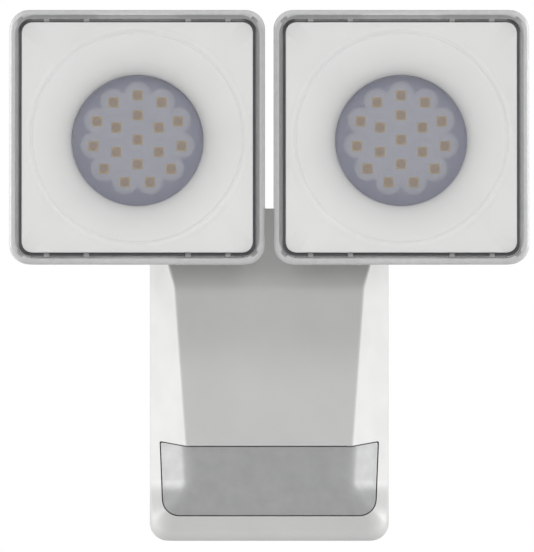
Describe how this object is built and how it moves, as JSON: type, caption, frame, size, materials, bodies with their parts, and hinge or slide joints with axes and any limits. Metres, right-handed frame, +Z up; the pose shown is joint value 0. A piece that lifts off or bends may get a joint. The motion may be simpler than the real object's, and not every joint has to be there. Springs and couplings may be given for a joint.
{
  "type": "twin-head sensor floodlight",
  "caption": "Wall-mounted outdoor LED floodlight: square heads that swivel and tilt on arms above a faceted body with a motion-sensor window.",
  "frame": {"origin": "middle of the back plate's flat wall face", "axes": "+Y out of the back plate into the wall, so the light looks along -Y; +Z up; +X to the right as seen from the front"},
  "size_m": [0.2074, 0.1109, 0.2127],
  "materials": {
    "white_shell": "fine satin moulded",
    "white_casting": "satin powder coat",
    "dark_inside": "matt moulded",
    "window_film": "translucent moulded polyethylene",
    "clear_cover": "clear moulded polycarbonate",
    "clear_lens": "clear moulded acrylic",
    "reflector_white": "satin white moulded",
    "grey_rubber": "matt silicone",
    "black_rubber": "matt moulded rubber",
    "steel": "bright zinc plated",
    "led_board": "solder mask over aluminium",
    "green_board": "solder mask over glass fibre",
    "component": "moulded electronic parts",
    "dial_grey": "satin moulded"
  },
  "bodies": {
    "body": {"back_plate": "white_shell", "housing_gasket": "grey_rubber", "front_housing": "white_shell", "pir_window": "window_film", "sensor_board": "green_board", "pyro_sensor": "steel", "sensor_holder": "dark_inside", "control_board": "green_board", "driver_board": "green_board", "driver_screw_1": "steel", "driver_screw_2": "steel", "driver_transformer": "component", "driver_capacitor": "component", "terminal_block": "white_shell", "cable_grommet": "black_rubber", "housing_screw_left": "steel", "housing_screw_right": "steel", "left_swivel_washer": "steel", "right_swivel_washer": "steel"},
    "left_arm": {"left_swivel_arm": "white_casting", "left_swivel_seal": "black_rubber", "left_swivel_nut": "steel"},
    "left_head": {"left_head_housing": "white_casting", "left_tilt_washer": "steel", "left_tilt_bolt": "steel", "left_tilt_nut": "steel", "left_lead_gland": "black_rubber", "left_front_cover": "clear_cover", "left_cover_seal": "grey_rubber", "left_reflector": "reflector_white", "left_board_screw_1": "steel", "left_board_screw_2": "steel", "left_led_board": "led_board", "left_lens_array": "clear_lens"},
    "right_arm": {"right_swivel_arm": "white_casting", "right_swivel_seal": "black_rubber", "right_swivel_nut": "steel"},
    "right_head": {"right_head_housing": "white_casting", "right_tilt_washer": "steel", "right_tilt_bolt": "steel", "right_tilt_nut": "steel", "right_lead_gland": "black_rubber", "right_front_cover": "clear_cover", "right_cover_seal": "grey_rubber", "right_reflector": "reflector_white", "right_board_screw_1": "steel", "right_board_screw_2": "steel", "right_led_board": "led_board", "right_lens_array": "clear_lens"},
    "time_dial": {"time_dial": "dial_grey"},
    "lux_dial": {"lux_dial": "dial_grey"},
    "range_dial": {"range_dial": "dial_grey"}
  },
  "joints": [
    {"name": "left_pan", "type": "hinge", "parent": "body", "child": "left_arm", "pos_m": [-0.03, -0.017, 0.06675], "axis": [0, 0, -1], "range_deg": [0, 40]},
    {"name": "left_tilt", "type": "hinge", "parent": "left_arm", "child": "left_head", "pos_m": [-0.0527, -0.066, 0.07785], "axis": [1, 0, 0], "range_deg": [-25, 50]},
    {"name": "right_pan", "type": "hinge", "parent": "body", "child": "right_arm", "pos_m": [0.03, -0.017, 0.06675], "axis": [0, 0, 1], "range_deg": [0, 40]},
    {"name": "right_tilt", "type": "hinge", "parent": "right_arm", "child": "right_head", "pos_m": [0.0527, -0.066, 0.07785], "axis": [1, 0, 0], "range_deg": [-25, 50]},
    {"name": "time_dial_turn", "type": "hinge", "parent": "body", "child": "time_dial", "pos_m": [-0.018, -0.024, -0.06645], "axis": [0, 0, 1], "range_deg": [-135, 135]},
    {"name": "lux_dial_turn", "type": "hinge", "parent": "body", "child": "lux_dial", "pos_m": [0, -0.024, -0.06645], "axis": [0, 0, 1], "range_deg": [-135, 135]},
    {"name": "range_dial_turn", "type": "hinge", "parent": "body", "child": "range_dial", "pos_m": [0.018, -0.024, -0.06645], "axis": [0, 0, 1], "range_deg": [-135, 135]}
  ]
}
